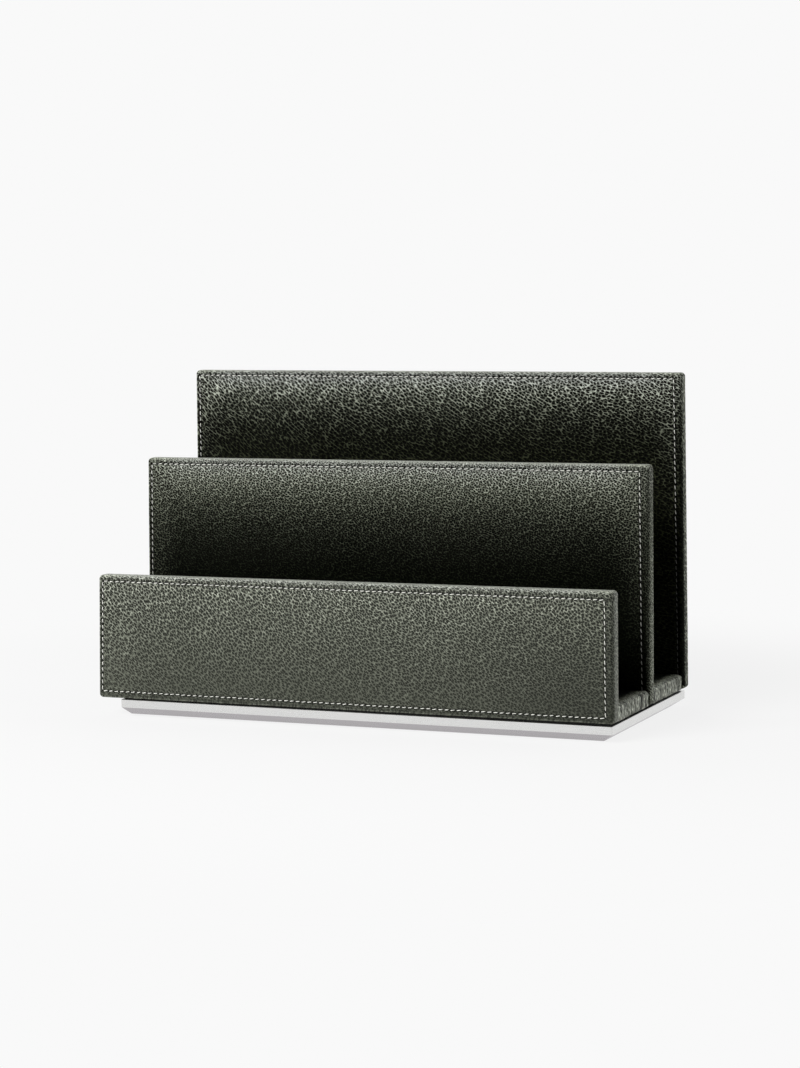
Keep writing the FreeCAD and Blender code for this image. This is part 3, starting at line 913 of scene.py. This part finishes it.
def panel_seam(name, seed):
    """The thread round the face of one panel, a stitch at a time."""
    random = np.random.RandomState(seed)
    outward = Vector((0, -1, 0))
    points, faces = [], []
    for start, run, count in seam_sides(name):
        along = run.normalized()
        across = outward.cross(along)
        for number in range(count):
            aside, turn, rise = random.normal(size=3)
            centre = start + run * ((number + 0.5) / count) + across * (STITCH_WOBBLE * aside)
            ring_points, ring_faces = stitch(centre, along, outward,
                                             THREAD_TILT + TILT_WOBBLE * turn,
                                             THREAD_RISE + STITCH_WOBBLE * rise)
            first = len(points)
            points += ring_points
            faces += [tuple(first + v for v in face) for face in ring_faces]
    points = settled(name, points)
    low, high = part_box(name + "_panel_cover")
    down = (high.z - points[:, 2]) / (high.z - low.z)
    # Painted shade on the thread, deeper down a panel.
    marks = {"dark": THREAD_SHADE[name] * np.clip(1.6 * down - 0.1, 0, 1)}
    return make_piece(name + "_seam_thread", points, faces, thread, sharp_angle=2.0,
                      marks=marks)


# ---- Floors, felt, plate and the plain nodes ----

def floor_cover(name, seed):
    """Leather floor of a compartment, wrinkled where it turns down at its ends."""
    node = name + "_floor_cover"
    low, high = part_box(node)
    samples = (side_samples(low.x, high.x, FLOOR_RADIUS, np.arange(*WRINKLE_ROWS), COARSE_GRID),
               side_samples(low.y, high.y, FLOOR_SIDE_RADIUS, [], 0.3 * MM),
               side_samples(low.z, high.z, FLOOR_RADIUS, [], 0.5 * MM))
    points, rounded, normals, faces = rounded_box(low, high, FLOOR_SIDE_RADIUS, samples)
    end_in = np.minimum(points[:, 0] - low.x, high.x - points[:, 0])
    top_share = np.clip((points[:, 2] - (high.z - FLOOR_RADIUS)) / FLOOR_RADIUS, 0, 1)
    shoulder = FLOOR_RADIUS * (1 - np.sqrt(np.clip(1 - top_share ** 2, 0, 1)))
    inward = np.where(points[:, 0] > 0, -1, 1)
    turned = np.clip(1 - end_in / TURN_REACH, 0, 1)
    rounded[:, 0] += inward * shoulder * turned ** 3
    rounded[:, 2] -= END_DROP * turned ** 4 * (points[:, 2] > low.z + 1 * MM)
    drawn = points * np.array([0.0, 1.0, WRINKLE_DRAW])
    folds = -np.abs(sum(share * value_noise(drawn, width, seed + k)
                        for k, (width, share) in enumerate(WRINKLES)))
    at_end = np.clip(1 - end_in / WRINKLE_REACH, 0, 1) ** 1.5
    push = WRINKLE_DEPTH * folds * at_end + 0.05 * MM * value_noise(points, 14 * MM, seed + 3)
    push = np.where(points[:, 2] < low.z + HAIR, 0, push)
    # Painted light on the turned-down ends, and painted shade in the valleys of their wrinkles.
    marks = {"worn": np.clip(1.5 * at_end, 0, 1),
             "dark": np.clip(-1.8 * folds - 0.25, 0, 1) * at_end}
    return make_piece(name + "_floor_leather", rounded + normals * push[:, None], faces,
                      floor_leather, [node], marks=marks)


def felt_pad():
    """Pressed felt under the plate, with a soft cut edge."""
    low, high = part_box("base_felt")
    radius = 0.5 * MM
    spacings = (COARSE_GRID, COARSE_GRID, radius)
    points, rounded, normals, faces = even_box(low, high, radius, spacings)
    fuzz = 0.04 * MM * value_noise(points, 4 * MM, 91)
    fuzz = np.where(points[:, 2] < low.z + HAIR, 0, fuzz)
    return make_piece("felt_pad", rounded + normals * fuzz[:, None], faces, felt_material(),
                      ["base_felt"])


def plate_ring(low, high, inset, left_inset, z):
    """Corners of the plate's outline at a height, rounded in plan."""
    radius = PLATE_CORNER
    x0, x1 = low.x + left_inset + radius, high.x - inset - radius
    y0, y1 = low.y + inset + radius, high.y - inset - radius
    ring = []
    for cx, cy, first in ((x1, y1, 0), (x0, y1, 90), (x0, y0, 180), (x1, y0, 270)):
        for step in range(PLATE_CORNER_STEPS + 1):
            angle = math.radians(first + 90 * step / PLATE_CORNER_STEPS)
            ring.append((cx + radius * math.cos(angle), cy + radius * math.sin(angle), z))
    return ring


def plate_metal():
    """Metal plate with a broken top edge and a wide bevel below, steeper at its left end."""
    low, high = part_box("base_plate")
    edge = PLATE_EDGE
    half = edge / 2
    waist = low.z + CHAMFER_HEIGHT
    slope = CHAMFER_DEPTH / CHAMFER_HEIGHT
    left_slope = CHAMFER_DEPTH_LEFT / CHAMFER_HEIGHT
    levels = [(CHAMFER_DEPTH, CHAMFER_DEPTH_LEFT, low.z),
              (half * slope, half * left_slope, waist - half),
              (0, 0, waist + half), (0, 0, high.z - edge), (edge, edge, high.z)]
    points = [point for level in levels for point in plate_ring(low, high, *level)]
    count = len(points) // len(levels)
    faces = [tuple(range(count))] + tube_faces(0, len(levels), count)
    faces.append(tuple(range(len(points) - count, len(points))))
    metal = satin_metal("satin_steel", PLATE_COLOUR, 0.22, 0.34, BEVEL_SHADE)
    points = np.array(points)
    # The bevel under the waist, which gets painted shade.
    marks = {"foot": (points[:, 2] < waist).astype(float)}
    points[:, 2] += np.interp(points[:, 0], (low.x, high.x), PLATE_TILT)
    return make_piece("plate_metal", points, faces, metal, ["base_plate"],
                      sharp_angle=0.3, marks=marks)


def finish_node(node, material):
    """Gives a CAD node its finish."""
    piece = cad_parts[node]
    piece.data.materials.clear()
    piece.data.materials.append(material)


for number, panel in enumerate(PANELS):
    panel_cover(panel, 10 * number + 3)
    needle_holes(panel)
    panel_lining(panel, 10 * number + 7)
    panel_seam(panel, 10 * number + 9)
for number, compartment in enumerate(FLOORS):
    floor_cover(compartment, 50 + 10 * number)
felt_pad()
plate_metal()

fibreboard = board_material("fibreboard", FIBREBOARD_TONES, 900.0)
plywood = board_material("birch_plywood", PLYWOOD_TONES, 500.0)
finish_node("base_screws", satin_metal("zinc", ZINC_COLOUR, 0.35, 0.5))
# The spacer shows as the dark reveal under the leather: painted shadow.
finish_node("spacer_board", board_material("black_board", REVEAL_SHADOW_TONES, 700.0))
for panel in PANELS:
    finish_node(panel + "_panel_board", fibreboard)
    finish_node(panel + "_joint_tongues", plywood)
for compartment in FLOORS:
    finish_node(compartment + "_floor_board", fibreboard)


# ---- Camera -------------------------------------

CAMERA_PLACE = Vector((0.47704, -1.15442, 0.20039))
CAMERA_YAW = 0.38915       # radians, turned left from looking along +Y
CAMERA_PITCH = 0.09384     # looking down
CAMERA_ROLL = -0.01266
FOCAL_PIXELS = 2706.1      # in a frame of 800 by 1068 pixels
FRAME_HEIGHT = 1068
SENSOR = 36.0


def add_camera():
    """The photograph's camera, as fitted to the corners of the panels and the plate."""
    forward = Vector((-math.sin(CAMERA_YAW) * math.cos(CAMERA_PITCH),
                      math.cos(CAMERA_YAW) * math.cos(CAMERA_PITCH), -math.sin(CAMERA_PITCH)))
    level = Vector((math.cos(CAMERA_YAW), math.sin(CAMERA_YAW), 0))
    upright = level.cross(forward)
    right = level * math.cos(CAMERA_ROLL) + upright * math.sin(CAMERA_ROLL)
    up = upright * math.cos(CAMERA_ROLL) - level * math.sin(CAMERA_ROLL)
    data = bpy.data.cameras.new("camera")
    data.sensor_width = SENSOR
    data.lens = FOCAL_PIXELS / FRAME_HEIGHT * SENSOR
    camera = new_object("camera", data)
    turn = Matrix((right, up, -forward)).transposed()
    camera.matrix_world = Matrix.Translation(CAMERA_PLACE) @ turn.to_4x4()
    bpy.context.scene.camera = camera


# ---- Floor, world and lamp ----------------------

WHITE = (1, 1, 1, 1)
BACKDROP_GLOW = 0.947      # the pale grey-white of the backdrop
FLOOR_HALF = 8.0
FLOOR_COLOUR = (0.80, 0.80, 0.80, 1.0)
SHADOW_SHARE = 0.12        # share of the floor's real shading beside the object
SHADOW_REACH = (0.16, 0.42)  # it fades out between these distances from the middle
BEHIND = (0.1, 0.4)        # Y of the directions in which reflections meet the backdrop
LIT_SPAN = (-0.1, 0.4)     # Y between which the studio's light grows from the first of
STUDIO_LIGHT = (0.06, 0.95)  # these to the second
KEY_PLACE = Vector((-0.40, -1.15, 0.80))
KEY_TARGET = Vector((0, 0, 0.05))
KEY_SIZE = (0.9, 0.5)
KEY_WATTS = 26


def background_rays(nodes):
    """1 for rays that show the background: camera, glossy and transmission rays."""
    path = nodes.add("LightPath")
    total = path.outputs["Is Camera Ray"]
    for name in ("Is Glossy Ray", "Is Transmission Ray"):
        total = nodes.maths("MAXIMUM", total, path.outputs[name])
    return total


def add_floor():
    """Floor that shows as the bright backdrop, with a little of its real shading."""
    mesh = bpy.data.meshes.new("studio_floor")
    h = FLOOR_HALF
    mesh.from_pydata([(-h, -h, 0), (h, -h, 0), (h, h, 0), (-h, h, 0)], [], [(0, 1, 2, 3)])
    material = bpy.data.materials.new("studio_floor")
    nodes = Nodes(material)
    diffuse = nodes.add("BsdfDiffuse", {"Color": FLOOR_COLOUR})
    glow = nodes.add("Emission", {"Color": WHITE, "Strength": BACKDROP_GLOW})
    distance = nodes.vector("LENGTH", nodes.place())
    fade = nodes.spread(distance, *SHADOW_REACH, 1 - SHADOW_SHARE, 1.0, smooth=True)
    nodes.show_blend(nodes.product(background_rays(nodes), fade), diffuse, glow)
    mesh.materials.append(material)
    new_object("studio_floor", mesh)


def add_world():
    """White to the camera. As light it is a dim studio that is brighter behind."""
    world = bpy.data.worlds.new("studio")
    bpy.context.scene.world = world
    nodes = Nodes(world, "OutputWorld")
    direction = nodes.split(nodes.add("TexCoord").outputs["Generated"])
    light = nodes.spread(direction["Y"], *LIT_SPAN, *STUDIO_LIGHT, smooth=True)
    behind = nodes.spread(direction["Y"], *BEHIND)
    lit = nodes.add("Background", {"Color": WHITE, "Strength": light})
    seen = nodes.add("Background", {"Color": WHITE, "Strength": BACKDROP_GLOW})
    to_camera = nodes.add("LightPath").outputs["Is Camera Ray"]
    reflected = nodes.product(background_rays(nodes), behind)
    nodes.show_blend(nodes.maths("MAXIMUM", to_camera, reflected), lit, seen)


def add_key_lamp():
    """A soft light in front, above and to the left."""
    data = bpy.data.lights.new("key_softbox", "AREA")
    data.shape = "RECTANGLE"
    data.size, data.size_y = KEY_SIZE
    data.energy = KEY_WATTS
    lamp = new_object("key_softbox", data)
    lamp.location = KEY_PLACE
    lamp.rotation_euler = (KEY_TARGET - KEY_PLACE).to_track_quat("-Z", "Y").to_euler()


add_camera()
add_floor()
add_world()
add_key_lamp()

bpy.context.scene.view_settings.view_transform = "Standard"
